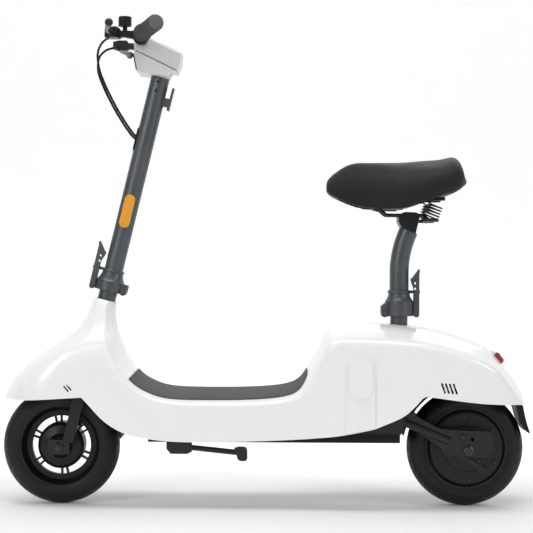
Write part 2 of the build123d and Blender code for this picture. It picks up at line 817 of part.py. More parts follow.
with BuildPart() as motor_cover:
    with BuildSketch(axle_plane(rear_axle, cover_inside)):
        Circle(cover_radius)
        Circle(rear_hub_bore + running_gap, mode=Mode.SUBTRACT)
        with PolarLocations(cover_screw_circle, cover_screws, start_angle=-25):
            Circle(2.6, mode=Mode.SUBTRACT)
    extrude(amount=cover_thickness)
    fillet(motor_cover.edges().filter_by(GeomType.CIRCLE).sort_by(SortBy.RADIUS)[-1], radius=1.5)
finish(motor_cover, "motor_cover")

with BuildPart() as motor_stator:
    with BuildSketch(axle_plane(rear_axle)):
        Circle(68)
        Circle(rear_hub_bore + running_gap, mode=Mode.SUBTRACT)
        # winding slots
        with PolarLocations(61, 27):
            Rectangle(16, 4, mode=Mode.SUBTRACT)
    extrude(amount=18, both=True)
finish(motor_stator, "motor_stator")

with BuildPart() as rear_axle_bar:
    with BuildSketch(axle_plane(rear_axle)):
        Circle(rear_hub_bore)
    extrude(amount=36.5, both=True)
    with BuildSketch(axle_plane(rear_axle)):
        Circle(rear_axle_radius)
    extrude(amount=84, both=True)
    # a nut outside each dropout
    for start in (-stay_outside - 0.1, stay_outside + 8.1):
        with BuildSketch(axle_plane(rear_axle, start)):
            RegularPolygon(10.5, 6)
        extrude(amount=8)
finish(rear_axle_bar, "rear_axle")

brake_cam = (412.0, 116.0)
brake_arm_end = (474.0, 80.0)
brake_plate_inside = 38.0
brake_plate_outside = 50.0
cam_radius = 4.0

with BuildPart() as rear_brake_plate:
    with BuildSketch(axle_plane(rear_axle, -brake_plate_inside)):
        Circle(49)
        Circle(rear_axle_radius + running_gap, mode=Mode.SUBTRACT)
    extrude(amount=brake_plate_outside - brake_plate_inside)
    fillet(rear_brake_plate.faces().sort_by(Axis.Y)[0].edges().sort_by(SortBy.LENGTH)[-1], radius=4)
    with BuildSketch(side_plane(-brake_plate_outside + 8)):
        with Locations(brake_cam):
            Circle(cam_radius + running_gap)
    extrude(amount=12, mode=Mode.SUBTRACT)
finish(rear_brake_plate, "rear_brake_plate")

with BuildPart() as rear_brake_arm:
    with BuildSketch(side_plane(-brake_plate_outside - 1.5)):
        arm = Vector(brake_arm_end[0] - brake_cam[0], brake_arm_end[1] - brake_cam[1])
        with Locations(((brake_cam[0] + brake_arm_end[0]) / 2, (brake_cam[1] + brake_arm_end[1]) / 2)):
            SlotOverall(arm.length + 14, 11, rotation=degrees(atan2(arm.Y, arm.X)))
        with Locations(brake_arm_end):
            Circle(2.5, mode=Mode.SUBTRACT)
    extrude(amount=4)
    with BuildSketch(side_plane(-brake_plate_outside + 7)):
        with Locations(brake_cam):
            Circle(cam_radius)
    extrude(amount=10)
finish(rear_brake_arm, "rear_brake_arm")

# ---------------------------------------------------------------- kickstand
kick_x = -176.0
kick_z = 133.7
kick_middle = -88.5
kick_pin_radius = 4.5
foot_x = -52.0
foot_z = 121.0
leg_radius = 5.9
cheek_inside = 6.3
cheek_outside = 9.8

with BuildPart() as kickstand_bracket:
    with BuildSketch(side_plane(kick_middle + cheek_outside)):
        with BuildLine():
            Polyline((-215, 161.5), (-161, 161.5), (-161, 124), (-170, 119.5), (-206, 119.5), (-215, 130), close=True)
        make_face()
    extrude(amount=2 * cheek_outside)
    with BuildSketch(side_plane(kick_middle + cheek_inside)):
        with Locations((-188, 130)):
            Rectangle(70, 30)
    extrude(amount=2 * cheek_inside, mode=Mode.SUBTRACT)
    with BuildSketch(side_plane(kick_middle + cheek_outside)):
        with Locations((kick_x, kick_z)):
            Circle(kick_pin_radius + running_gap)
    extrude(amount=2 * cheek_outside, mode=Mode.SUBTRACT)
finish(kickstand_bracket, "kickstand_bracket")

leg_start = Vector(kick_x, kick_middle, kick_z)
leg_end = Vector(foot_x, kick_middle, foot_z)
with BuildPart() as kickstand_leg:
    with BuildSketch(side_plane(kick_middle + cheek_inside - face_gap)):
        with Locations((kick_x, kick_z)):
            Circle(9)
    extrude(amount=2 * (cheek_inside - face_gap))
    with BuildSketch(side_plane(kick_middle + cheek_outside + 2)):
        with Locations((kick_x, kick_z)):
            Circle(kick_pin_radius)
    extrude(amount=2 * (cheek_outside + 2))
    with BuildSketch(Plane(origin=leg_start, x_dir=(0, 1, 0), z_dir=leg_end - leg_start)):
        Circle(leg_radius)
    extrude(amount=(leg_end - leg_start).length)
    # foot
    with BuildSketch(side_plane(kick_middle + 13)):
        with BuildLine():
            Polyline((-70, 131), (-60, 134), (-46, 133), (-42, 128), (-42, 110), (-46, 105), (-58, 105.5),
                     (-63, 110), (-65, 118), (-71, 119), close=True)
        make_face()
    extrude(amount=26)
finish(kickstand_leg, "kickstand_leg")

# ---------------------------------------------------------------- stem tube and what is on it
stem_tube_low = 42.0
stem_tube_high = 522.0
stem_wall = 2.5
slot_low = 332.0
slot_high = 376.0
slot_width = 15.0
reflector_middle = 195.0
reflector_size = (74.0, 23.0)

with BuildPart() as stem_tube:
    with BuildSketch(across_stem(stem_tube_low)):
        Circle(stem_tube_radius)
        Circle(stem_tube_radius - stem_wall, mode=Mode.SUBTRACT)
    extrude(amount=stem_tube_high - stem_tube_low)
    # cable slot in the front wall
    with BuildSketch(Plane(origin=stem_point((slot_low + slot_high) / 2), x_dir=stem_up, z_dir=-stem_back)):
        SlotOverall(slot_high - slot_low, slot_width)
    extrude(amount=30, mode=Mode.SUBTRACT)
    # two small holes through the sides near the top
    with BuildSketch(beside_stem()):
        with Locations((-2, 486), (-2, 466)):
            Circle(2.5)
    extrude(amount=30, both=True, mode=Mode.SUBTRACT)
finish(stem_tube, "stem_tube")

with BuildPart() as cable_grommet:
    with BuildSketch(Plane(origin=stem_point((slot_low + slot_high) / 2), x_dir=stem_up, z_dir=-stem_back)):
        SlotOverall(slot_high - slot_low + 8, slot_width + 4)
        SlotOverall(slot_high - slot_low - 1.6, slot_width - 1.6, mode=Mode.SUBTRACT)
    extrude(amount=stem_tube_radius + 1.5)
    with BuildSketch(across_stem(slot_low - 20)):
        Circle(stem_tube_radius + 0.05)
    extrude(amount=slot_high - slot_low + 40, mode=Mode.SUBTRACT)
finish(cable_grommet, "cable_grommet")

with BuildPart() as stem_reflectors:
    for sign in (-1, 1):
        with BuildSketch(beside_stem()):
            with Locations((0, reflector_middle)):
                SlotOverall(*reflector_size, rotation=90)
        extrude(amount=-sign * (stem_tube_radius + 2.5))
    with BuildSketch(across_stem(reflector_middle - 60)):
        Circle(stem_tube_radius + 0.05)
    extrude(amount=120, mode=Mode.SUBTRACT)
finish(stem_reflectors, "stem_reflectors")

with BuildPart() as bag_hook:
    with BuildSketch(beside_stem()):
        with BuildLine():
            Polyline((18, 437), (32, 437), (32, 456), (18, 456), close=True)
        make_face()
        with BuildLine():
            Polyline((30, 431), (35.5, 430), (36, 481), (31.5, 481), close=True)
        make_face()
    extrude(amount=10, both=True)
    with BuildSketch(across_stem(420)):
        Circle(stem_tube_radius + 0.05)
    extrude(amount=80, mode=Mode.SUBTRACT)
finish(bag_hook, "bag_hook")

# ---------------------------------------------------------------- display head
head_half_width = 46.0
head_wall = 2.5
bar_x = -275.0
bar_z = 1010.0
bar_radius = 11.0
seam_front = (-293.5, 990.5)
seam_rear = (-200.4, 944.8)

with BuildPart() as head_housing:
    with BuildSketch(side_plane()):
        with BuildLine():
            Polyline(
                (-292.5, 989.5), (-201.5, 944.5), (-213.5, 946), (-222, 934), (-258, 938), (-286, 943),
                (-294, 984), close=True,
            )
        make_face()
    extrude(amount=head_half_width - 1.5, both=True)
    fillet(head_housing.edges().filter_by(Axis.Z, reverse=True).filter_by(Axis.Y).sort_by(Axis.X)[0], radius=3)
    with BuildSketch(side_plane()):
        with BuildLine():
            Polyline((-290, 996), (-205, 956), (-226, 944), (-257, 942), (-282, 947), (-290, 984), close=True)
        make_face()
    extrude(amount=head_half_width - 1.5 - head_wall, both=True, mode=Mode.SUBTRACT)
    # neck collar round the top of the stem tube
    with BuildSketch(across_stem(497.5)):
        Circle(stem_tube_radius + 2.2)
    extrude(amount=22)
    with BuildSketch(across_stem(485)):
        Circle(stem_tube_radius + running_gap)
    extrude(amount=60, mode=Mode.SUBTRACT)
finish(head_housing, "head_housing")

cover_slope = radians(25)
button_middle = Vector(-222, 0, 999.5)
button_radius = 8.0
with BuildPart() as head_cover:
    with BuildSketch(side_plane()):
        with BuildLine():
            Polyline(
                seam_front, (-294.5, 1003), (-288, 1020), (-274, 1024.5), (-262, 1019), (-198.3, 989), (-190.6, 984),
                (-192.5, 966), seam_rear, close=True,
            )
        make_face()
    extrude(amount=head_half_width, both=True)
    fillet(head_cover.faces().sort_by(Axis.Y)[0].edges(), radius=7)
    fillet(head_cover.faces().sort_by(Axis.Y)[-1].edges(), radius=7)
    with BuildSketch(side_plane()):
        with BuildLine():
            Polyline(
                (-290, 985), (-291, 1003), (-286, 1017), (-274, 1021), (-262, 1016), (-197, 985.5), (-196, 966),
                (-206, 942), close=True,
            )
        make_face()
    extrude(amount=head_half_width - 3.5, both=True, mode=Mode.SUBTRACT)
    # holes for the handlebar
    with BuildSketch(side_plane()):
        with Locations((bar_x, bar_z)):
            Circle(bar_radius + 0.3)
    extrude(amount=60, both=True, mode=Mode.SUBTRACT)
    # hole for the power button
    with BuildSketch(Plane(origin=button_middle, x_dir=(0, 1, 0), z_dir=(sin(cover_slope), 0, cos(cover_slope)))):
        Circle(button_radius + 0.3)
    extrude(amount=20, both=True, mode=Mode.SUBTRACT)
finish(head_cover, "head_cover")

with BuildPart() as power_button:
    with BuildSketch(Plane(origin=button_middle, x_dir=(0, 1, 0), z_dir=(sin(cover_slope), 0, cos(cover_slope)))):
        Circle(button_radius)
    extrude(amount=3)
    with BuildSketch(
        Plane(origin=button_middle, x_dir=(0, 1, 0), z_dir=(-sin(cover_slope), 0, -cos(cover_slope)))
    ):
        Circle(button_radius)
    extrude(amount=5)
finish(power_button, "power_button")

with BuildPart() as headlight_lens:
    with BuildSketch(side_plane()):
        with BuildLine():
            Polyline((-297.5, 984), (-294.3, 984), (-287.7, 949), (-290.5, 948), close=True)
        make_face()
    extrude(amount=32, both=True)
finish(headlight_lens, "headlight_lens")

# ---------------------------------------------------------------- handlebar and controls
bar_bend_y = 125.0
bar_end = Vector(-229.5, 271.0, 1014.5)
bar_bend = Vector(bar_x, bar_bend_y, bar_z)
grip_way = (bar_end - bar_bend).normalized()
grip_start = 26.0
grip_length = 124.0
bar_cut = grip_start + grip_length - 0.8
grip_radius = 17.0
grip_bore = bar_radius + running_gap


def bar_spot(along, side):
    """Point on the swept-back end of the handlebar, measured from the bend."""
    return mirrored(bar_bend + grip_way * along, side)


def along_grip(along, side):
    return Plane(origin=bar_spot(along, side), x_dir=(0, 0, 1), z_dir=mirrored(grip_way, side))


with BuildPart() as handlebar:
    with BuildLine() as bar_path:
        FilletPolyline(
            bar_spot(bar_cut, -1), mirrored(bar_bend, -1), bar_bend, bar_spot(bar_cut, 1), radius=60,
        )
    with BuildSketch(Plane(origin=bar_spot(bar_cut, -1), z_dir=-mirrored(grip_way, -1))):
        Circle(bar_radius)
        Circle(bar_radius - 2.2, mode=Mode.SUBTRACT)
    sweep()
finish(handlebar, "handlebar")


def grip(side, start, length):
    """Grip with a flange at its inner end and a closed outer end."""
    with BuildPart() as piece:
        with BuildSketch(along_grip(start, side)):
            Circle(grip_radius)
            Circle(grip_bore, mode=Mode.SUBTRACT)
        extrude(amount=length)
        with BuildSketch(along_grip(start, side)):
            Circle(grip_radius + 2.5)
            Circle(grip_bore, mode=Mode.SUBTRACT)
        extrude(amount=4)
        # closed outer end
        with BuildSketch(along_grip(start + length - 0.5, side)):
            Circle(grip_radius - 0.5)
        extrude(amount=4)
    return piece


grip_left = grip(-1, grip_start, grip_length)
finish(grip_left, "grip_left")
throttle_grip = grip(1, grip_start, grip_length)
finish(throttle_grip, "throttle_grip")

perch_y = 92.0
perch_half_width = 8.0
perch_low = 1006.0
perch_high = 1029.0
perch_neck = 1023.0
lever_pivot = (-331.0, 112.0)
lever_low = 1011.5
lever_high = 1024.0
barrel_start = Vector(-341, 84, 1014)
barrel_aim = Vector(-364, 51, 1003)
barrel_way = (barrel_aim - barrel_start).normalized()
barrel_length = 12.0
cable_radius = 2.5


def brake_perch(side):
    """Clamp on the bar, jaws for the lever, and the cable's barrel adjuster."""
    with BuildPart() as perch:
        with BuildSketch(side_plane(side * perch_y + perch_half_width)):
            with Locations((bar_x, bar_z)):
                Circle(bar_radius + 5.5)
            with BuildLine():
                Polyline((-352, 1010), (-340, perch_low), (-321, perch_low), (-314, 1010), (-285, 1005),
                         (-285, perch_neck), (-317, perch_neck), (-321, perch_high), (-340, perch_high),
                         (-352, 1026), close=True)
            make_face()
        extrude(amount=2 * perch_half_width)
        # jaws, reaching out round the lever's pivot
        with BuildSketch(Plane.XY.offset(perch_low)):
            with Locations((lever_pivot[0], side * lever_pivot[1])):
                Circle(9)
            with Locations((lever_pivot[0], side * (lever_pivot[1] - 10))):
                Rectangle(18, 20)
        extrude(amount=perch_high - perch_low)
        with BuildSketch(Plane.XY.offset(lever_low - face_gap)):
            with Locations((lever_pivot[0] - 2, side * (lever_pivot[1] + 1))):
                Rectangle(30, 22)
        extrude(amount=lever_high - lever_low + 2 * face_gap, mode=Mode.SUBTRACT)
        with BuildSketch(side_plane(side * perch_y + perch_half_width)):
            with Locations((bar_x, bar_z)):
                Circle(bar_radius + running_gap)
        extrude(amount=2 * perch_half_width, mode=Mode.SUBTRACT)
        with BuildSketch(Plane.XY.offset(perch_low - 1)):
            with Locations((lever_pivot[0], side * lever_pivot[1])):
                Circle(3 + running_gap)
        extrude(amount=perch_high - perch_low + 2, mode=Mode.SUBTRACT)
        # barrel adjuster
        with BuildSketch(Plane(
            origin=mirrored(barrel_start - barrel_way * 3, side), z_dir=mirrored(barrel_way, side)
        )):
            Circle(4.2)
        extrude(amount=barrel_length + 3)
    return perch


for side, name in ((-1, "brake_perch_left"), (1, "brake_perch_right")):
    finish(brake_perch(side), name)


def brake_lever(side):
    """Lever blade with its pivot pin and a ball end."""
    height = (lever_low + lever_high) / 2
    route = [Vector(x, side * y, height) for x, y in [lever_pivot, (-342, 130), (-341, 165), (-328, 240)]]
    with BuildPart() as lever:
        with BuildLine():
            FilletPolyline(*route, radius=(45, 200))
        with BuildSketch(Plane(origin=route[0], x_dir=(0, 0, 1), z_dir=route[1] - route[0])):
            RectangleRounded(10.5, 8, 2)
        sweep()
        with BuildSketch(Plane.XY.offset(lever_low)):
            with Locations((lever_pivot[0], side * lever_pivot[1])):
                Circle(7)
        extrude(amount=lever_high - lever_low)
        with BuildSketch(Plane.XY.offset(perch_low + 0.5)):
            with Locations((lever_pivot[0], side * lever_pivot[1])):
                Circle(3)
        extrude(amount=perch_high - perch_low - 1)
        with Locations((route[-1].X, side * 244, height)):
            Sphere(8.5)
    return lever


for side, name in ((-1, "brake_lever_left"), (1, "brake_lever_right")):
    finish(brake_lever(side), name)

bell_x = -309.0
bell_post_z = perch_neck + 0.3
bell_base_z = 1033.3
bell_split_z = 1040.0
bell_top_z = 1054.0
bell_radius = 14.0

with BuildPart() as bell_base:
    with BuildSketch(Plane.XY.offset(bell_post_z)):
        with Locations((bell_x, -perch_y)):
            Circle(5)
    extrude(amount=bell_base_z - bell_post_z)
    with BuildSketch(Plane.XY.offset(bell_base_z)):
        with Locations((bell_x, -perch_y)):
            Circle(bell_radius)
    extrude(amount=bell_split_z - bell_base_z)
    with BuildSketch(Plane.XY.offset(bell_split_z)):
        with Locations((bell_x, -perch_y)):
            Circle(4)
    extrude(amount=8)
finish(bell_base, "bell_base")

with BuildPart() as bell_cap:
    with BuildSketch(Plane.XY.offset(bell_split_z + face_gap)):
        with Locations((bell_x, -perch_y)):
            Circle(bell_radius)
    extrude(amount=bell_top_z - bell_split_z - face_gap)
    fillet(bell_cap.edges().group_by(Axis.Z)[-1], radius=2.5)
    with BuildSketch(Plane.XY.offset(bell_split_z)):
        with Locations((bell_x, -perch_y)):
            Circle(4 + running_gap)
    extrude(amount=8.5, mode=Mode.SUBTRACT)
finish(bell_cap, "bell_cap")

# Brake cables, from the barrel adjusters down into the slot in the stem. The left one lies nearer the stem.
cable_start = barrel_start + barrel_way * (barrel_length + 0.1)
cable_route = [
    (barrel_aim.X, barrel_aim.Y, barrel_aim.Z), (-377, 25, 984), (-376, 8, 950), (-359, 2.2, 908), (-336, 2.0, 864),
    (-314, 2.0, 829), (-298, 2.0, 807), (-284, 2.0, 797),
]
cable_offset = {-1: Vector(2.3, 0, 1.4), 1: Vector(-2.3, 0, -1.4)}


def cable_points(side):
    points = [Vector(cable_start.X, side * cable_start.Y, cable_start.Z)]
    for count, (x, y, z) in enumerate(cable_route):
        share = min(1.0, count / 2)
        points.append(Vector(x, side * y, z) + cable_offset[side] * share)
    return points


def arc_radii(points):
    """As large an arc at each corner as its two runs allow."""
    radii = []
    for before, corner, after in zip(points, points[1:], points[2:]):
        turn = (corner - before).get_angle(after - corner)
        shorter = min((corner - before).length, (after - corner).length)
        radii.append(0.45 * shorter / tan(radians(turn) / 2))
    return radii


def brake_cable(side):
    points = cable_points(side)
    radii = arc_radii(points)
    print("cable radii", [round(radius, 1) for radius in radii])
    with BuildPart() as cable:
        with BuildLine() as route:
            FilletPolyline(*points, radius=radii)
        with BuildSketch(Plane(origin=points[0], z_dir=points[1] - points[0])):
            Circle(cable_radius)
        sweep()
    section_area = pi * cable_radius**2
    print("cable volume", round(cable.part.volume), "expected", round(section_area * route.wire().length))
    print("cable length", round(route.wire().length, 1))
    return cable


for side, name in ((-1, "brake_cable_left"), (1, "brake_cable_right")):
    finish(brake_cable(side), name)

# ---------------------------------------------------------------- seat: base, post, clamp, rails, springs, saddle
seat_cup_z = 414.0
seat_tube_radius = 21.0
seat_tube_wall = 2.5
seat_joint = Plane(origin=(seat_x, 0, seat_cup_z), x_dir=(1, 0, 0), z_dir=(0, 0, 1))

seat_base = joint_base(seat_joint, 19.0, seat_base_z - seat_cup_z, 0, 0)
finish(seat_base, "seat_base_cup")
seat_latch = latch_lever(seat_joint, 53)
finish(seat_latch, "seat_latch_lever")
seat_collar = joint_collar(seat_joint, seat_tube_radius + running_gap, 33, 49, 57, 25.0)
finish(seat_collar, "seat_collar")

post_low = 441.0
post_bend = (seat_x, 0, 553.4)
post_top = Vector(308.7, 0, 600.8)
post_lean = Vector(post_top.X - post_bend[0], 0, post_top.Z - post_bend[2]).normalized()

with BuildPart() as seat_post:
    with BuildLine():
        FilletPolyline((seat_x, 0, post_low), post_bend, post_top, radius=220)
    with BuildSketch(Plane.XY.offset(post_low)):
        with Locations((seat_x, 0)):
            Circle(seat_tube_radius)
            Circle(seat_tube_radius - seat_tube_wall, mode=Mode.SUBTRACT)
    sweep()
finish(seat_post, "seat_post")

rail_y = 22.0
rail_radius = 3.5
rail_z = 635.0
rail_front_eye = (240.0, 650.5)
spring_low_x = 352.0
spring_high_x = 366.0
spring_y = 45.0
spring_low = 628.0
spring_high = 666.0
spring_radius = 16.0
spring_wire = 1.8
spring_turns = 3.5
spring_end_share = 0.22

with BuildPart() as seat_clamp:
    with BuildSketch(side_plane()):
        with BuildLine():
            Polyline((285, 636), (284, 622), (289, 611), (300, 600), (322, 594.2), (331, 634), (324, 641),
                     (298, 642), close=True)
        make_face()
    extrude(amount=29, both=True)
    with BuildSketch(Plane(origin=post_top + post_lean * face_gap, z_dir=-post_lean)):
        Rectangle(120, 120)
    extrude(amount=60, mode=Mode.SUBTRACT)
    with BuildSketch(Plane(origin=post_top + post_lean * 2, z_dir=-post_lean)):
        Circle(seat_tube_radius - seat_tube_wall - running_gap)
    extrude(amount=8)
    for side in (-1, 1):
        with BuildSketch(Plane.YZ.offset(270)):
            with Locations((side * rail_y, rail_z)):
                Circle(rail_radius + running_gap)
        extrude(amount=80, mode=Mode.SUBTRACT)
finish(seat_clamp, "seat_clamp")

with BuildPart() as saddle_rails:
    for side in (-1, 1):
        path = [
            (rail_front_eye[0], side * rail_y, rail_front_eye[1]),
            (258, side * rail_y, rail_z),
            (338, side * rail_y, rail_z),
            (spring_low_x, side * spring_y, spring_low - 6),
        ]
        with BuildLine():
            FilletPolyline(*path, radius=(9, 12))
        with BuildSketch(Plane(origin=path[0], z_dir=Vector(path[1]) - Vector(path[0]))):
            Circle(rail_radius)
        sweep()
        # spring seat at the rear end of the rail
        with BuildSketch(Plane.XY.offset(spring_low - 8)):
            with Locations((spring_low_x, side * spring_y)):
                Circle(spring_radius + 2)
        extrude(amount=7.5)
    # cross bar that the front of the saddle turns on
    with BuildSketch(side_plane(rail_y + 4)):
        with Locations(rail_front_eye):
            Circle(4)
    extrude(amount=2 * (rail_y + 4))
finish(saddle_rails, "saddle_rails")

with BuildPart() as saddle_springs:
    for side in (-1, 1):
        seat_low = Vector(spring_low_x, side * spring_y, spring_low)
        seat_high = Vector(spring_high_x, side * spring_y, spring_high)
        spring_foot = seat_low + (seat_high - seat_low) * spring_end_share
        spring_axis = (seat_high - seat_low) * (1 - 2 * spring_end_share)
        with BuildLine() as coil:
            Helix(
                pitch=spring_axis.length / spring_turns,
                height=spring_axis.length,
                radius=spring_radius,
                center=spring_foot,
                direction=spring_axis,
            )
        with BuildSketch(Plane(origin=coil.line @ 0, z_dir=coil.line % 0)):
            Circle(spring_wire)
        sweep(is_frenet=True)
finish(saddle_springs, "saddle_springs")

# Saddle: x, lowest z, highest z, half width
SADDLE = [
    (127, 686, 703, 11), (136, 677, 719, 25), (152, 668, 732, 34), (180, 657, 747, 42), (215, 648.5, 750, 54),
    (255, 644.5, 750, 74), (300, 647, 751, 97), (345, 661, 755, 113), (385, 676, 759.5, 117),
    (409, 687, 761, 110), (420, 696, 737, 96), (427, 699, 712, 84),
]
base_margin = 13.0
base_rise = 5.0
base_thickness = 7.0
recess_gap = 0.6


def saddle_section(x, low, high, half_width):
    """Closed outline across the saddle: a crowned top, full sides, and a narrower underside."""
    tall = high - low
    waist = low + 0.42 * tall
    half = [
        [(0, high), (0.5 * half_width, high), (0.98 * half_width, waist + 0.52 * (high - waist)), (half_width, waist)],
        [(half_width, waist), (1.01 * half_width, low + 0.2 * tall), (0.95 * half_width, low), (0.86 * half_width, low)],
        [(0.86 * half_width, low), (0.6 * half_width, low), (0.3 * half_width, low), (0, low)],
    ]
    with BuildSketch(Plane.YZ.offset(x)) as outline:
        with BuildLine():
            for points in half:
                Bezier(*points)
            for points in reversed(half):
                Bezier(*[(-y, z) for y, z in reversed(points)])
        make_face()
    return outline.sketch.face()


def saddle_block(x, low, high, half_width):
    """Plain rectangle across the saddle, for its base and the recess round it."""
    with BuildSketch(Plane.YZ.offset(x)) as outline:
        with Locations((0, (low + high) / 2)):
            Rectangle(2 * half_width, high - low)
    return outline.sketch.face()


base_stations = SADDLE[2:9]

with BuildPart() as saddle_base:
    loft([
        saddle_block(x, low + base_rise, low + base_rise + base_thickness, half_width - base_margin)
        for x, low, high, half_width in base_stations
    ])
    # cups that rest on the springs
    for side in (-1, 1):
        with BuildSketch(Plane.XY.offset(spring_high + face_gap)):
            with Locations((spring_high_x, side * spring_y)):
                Circle(spring_radius + 2)
        extrude(amount=7.5)
    # lug that holds the rails' cross bar, and gaps beside it for the rails
    for side in (-1, 1):
        with BuildSketch(Plane.XY.offset(630)):
            with Locations((rail_front_eye[0] + 3, side * rail_y)):
                Rectangle(34, 13)
        extrude(amount=30, mode=Mode.SUBTRACT)
    with BuildSketch(side_plane(14)):
        with Locations((rail_front_eye[0], rail_front_eye[1])):
            Circle(7.5)
        with Locations((rail_front_eye[0], rail_front_eye[1] + 2.5)):
            Rectangle(15, 8)
        with Locations(rail_front_eye):
            Circle(4 + running_gap, mode=Mode.SUBTRACT)
    extrude(amount=28)
    with BuildSketch(side_plane(16)):
        with Locations(rail_front_eye):
            Circle(4 + running_gap)
    extrude(amount=32, mode=Mode.SUBTRACT)
finish(saddle_base, "saddle_base")

with BuildPart() as saddle_cushion:
    loft([saddle_section(*station) for station in SADDLE])
    loft(
        [
            saddle_block(
                x, low - 30, low + base_rise + base_thickness + recess_gap, half_width - base_margin + recess_gap
            )
            for x, low, high, half_width in base_stations
        ],
        mode=Mode.SUBTRACT,
    )
finish(saddle_cushion, "saddle_cushion")
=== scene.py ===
import json
from math import cos, pi, radians, sin
import bpy
from mathutils import Matrix, Vector


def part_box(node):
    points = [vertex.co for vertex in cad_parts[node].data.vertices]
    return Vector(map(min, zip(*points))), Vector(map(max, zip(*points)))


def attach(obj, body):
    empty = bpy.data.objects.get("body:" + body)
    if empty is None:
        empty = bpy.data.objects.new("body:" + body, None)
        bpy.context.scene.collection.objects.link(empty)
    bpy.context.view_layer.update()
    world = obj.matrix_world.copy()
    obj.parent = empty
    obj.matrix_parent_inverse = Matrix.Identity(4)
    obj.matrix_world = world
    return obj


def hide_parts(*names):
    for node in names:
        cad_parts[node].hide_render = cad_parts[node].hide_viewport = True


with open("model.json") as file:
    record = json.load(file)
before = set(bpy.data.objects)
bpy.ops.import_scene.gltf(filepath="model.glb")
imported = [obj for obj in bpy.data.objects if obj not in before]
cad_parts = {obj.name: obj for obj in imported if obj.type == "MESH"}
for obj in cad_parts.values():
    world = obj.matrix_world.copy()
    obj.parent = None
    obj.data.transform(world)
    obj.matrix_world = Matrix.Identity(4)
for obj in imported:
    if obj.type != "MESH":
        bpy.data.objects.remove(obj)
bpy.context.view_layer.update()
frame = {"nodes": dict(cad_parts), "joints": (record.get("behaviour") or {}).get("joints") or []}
nodes = frame["nodes"]


# ------------------------------------------------------------------ materials
def finish_of(name, color, rough, metal=0.0, grain=220.0, bump=0.08, depth=0.0004, spread=0.10,
              rough_spread=0.10, broad=9.0, coat=0.0, coat_rough=0.1, sheen=0.0, shine=0.5, cells=0.0):
    """Procedural material: broad and fine noise vary its colour, roughness and bump.

    grain and broad are the noise scales; cells adds a leather-like cell pattern of that scale.
    """
    material = bpy.data.materials.new(name)
    material.use_nodes = True
    tree = material.node_tree
    shader = tree.nodes["Principled BSDF"]
    link = tree.links.new
    place = tree.nodes.new("ShaderNodeTexCoord")
    fine = tree.nodes.new("ShaderNodeTexNoise")
    fine.inputs["Scale"].default_value = grain
    fine.inputs["Detail"].default_value = 3.0
    wide = tree.nodes.new("ShaderNodeTexNoise")
    wide.inputs["Scale"].default_value = broad
    wide.inputs["Detail"].default_value = 4.0
    for noise in (fine, wide):
        link(place.outputs["Object"], noise.inputs["Vector"])
    shade = tree.nodes.new("ShaderNodeValToRGB")
    shade.color_ramp.elements[0].position = 0.3
    shade.color_ramp.elements[1].position = 0.7
    shade.color_ramp.elements[0].color = [c * (1 - spread) for c in color] + [1]
    shade.color_ramp.elements[1].color = [min(1, c * (1 + spread)) for c in color] + [1]
    blend = tree.nodes.new("ShaderNodeMath")
    blend.operation = "MULTIPLY_ADD"
    blend.inputs[1].default_value = 0.45
    link(fine.outputs["Fac"], blend.inputs[0])
    scaled = tree.nodes.new("ShaderNodeMath")
    scaled.operation = "MULTIPLY"
    scaled.inputs[1].default_value = 0.55
    link(wide.outputs["Fac"], scaled.inputs[0])
    link(scaled.outputs[0], blend.inputs[2])
    link(blend.outputs[0], shade.inputs["Fac"])
    link(shade.outputs["Color"], shader.inputs["Base Color"])
    worn = tree.nodes.new("ShaderNodeMapRange")
    worn.inputs["From Min"].default_value = 0.3
    worn.inputs["From Max"].default_value = 0.7
    worn.inputs["To Min"].default_value = max(0.03, rough - rough_spread)
    worn.inputs["To Max"].default_value = min(1.0, rough + rough_spread)
    link(wide.outputs["Fac"], worn.inputs["Value"])
    link(worn.outputs[0], shader.inputs["Roughness"])
    shader.inputs["Metallic"].default_value = metal
    shader.inputs["Specular IOR Level"].default_value = shine
    shader.inputs["Coat Weight"].default_value = coat
    shader.inputs["Coat Roughness"].default_value = coat_rough
    shader.inputs["Sheen Weight"].default_value = sheen
    height = fine.outputs["Fac"]
    if cells:
        skin = tree.nodes.new("ShaderNodeTexVoronoi")
        skin.feature = "DISTANCE_TO_EDGE"
        skin.inputs["Scale"].default_value = cells
        link(place.outputs["Object"], skin.inputs["Vector"])
        edge = tree.nodes.new("ShaderNodeMapRange")
        edge.inputs["From Max"].default_value = 0.16
        link(skin.outputs["Distance"], edge.inputs["Value"])
        both = tree.nodes.new("ShaderNodeMath")
        both.operation = "MULTIPLY_ADD"
        both.inputs[1].default_value = 0.35
        link(fine.outputs["Fac"], both.inputs[0])
        link(edge.outputs[0], both.inputs[2])
        height = both.outputs[0]
    relief = tree.nodes.new("ShaderNodeBump")
    relief.inputs["Strength"].default_value = bump
    relief.inputs["Distance"].default_value = depth
    link(height, relief.inputs["Height"])
    link(relief.outputs["Normal"], shader.inputs["Normal"])
    return material


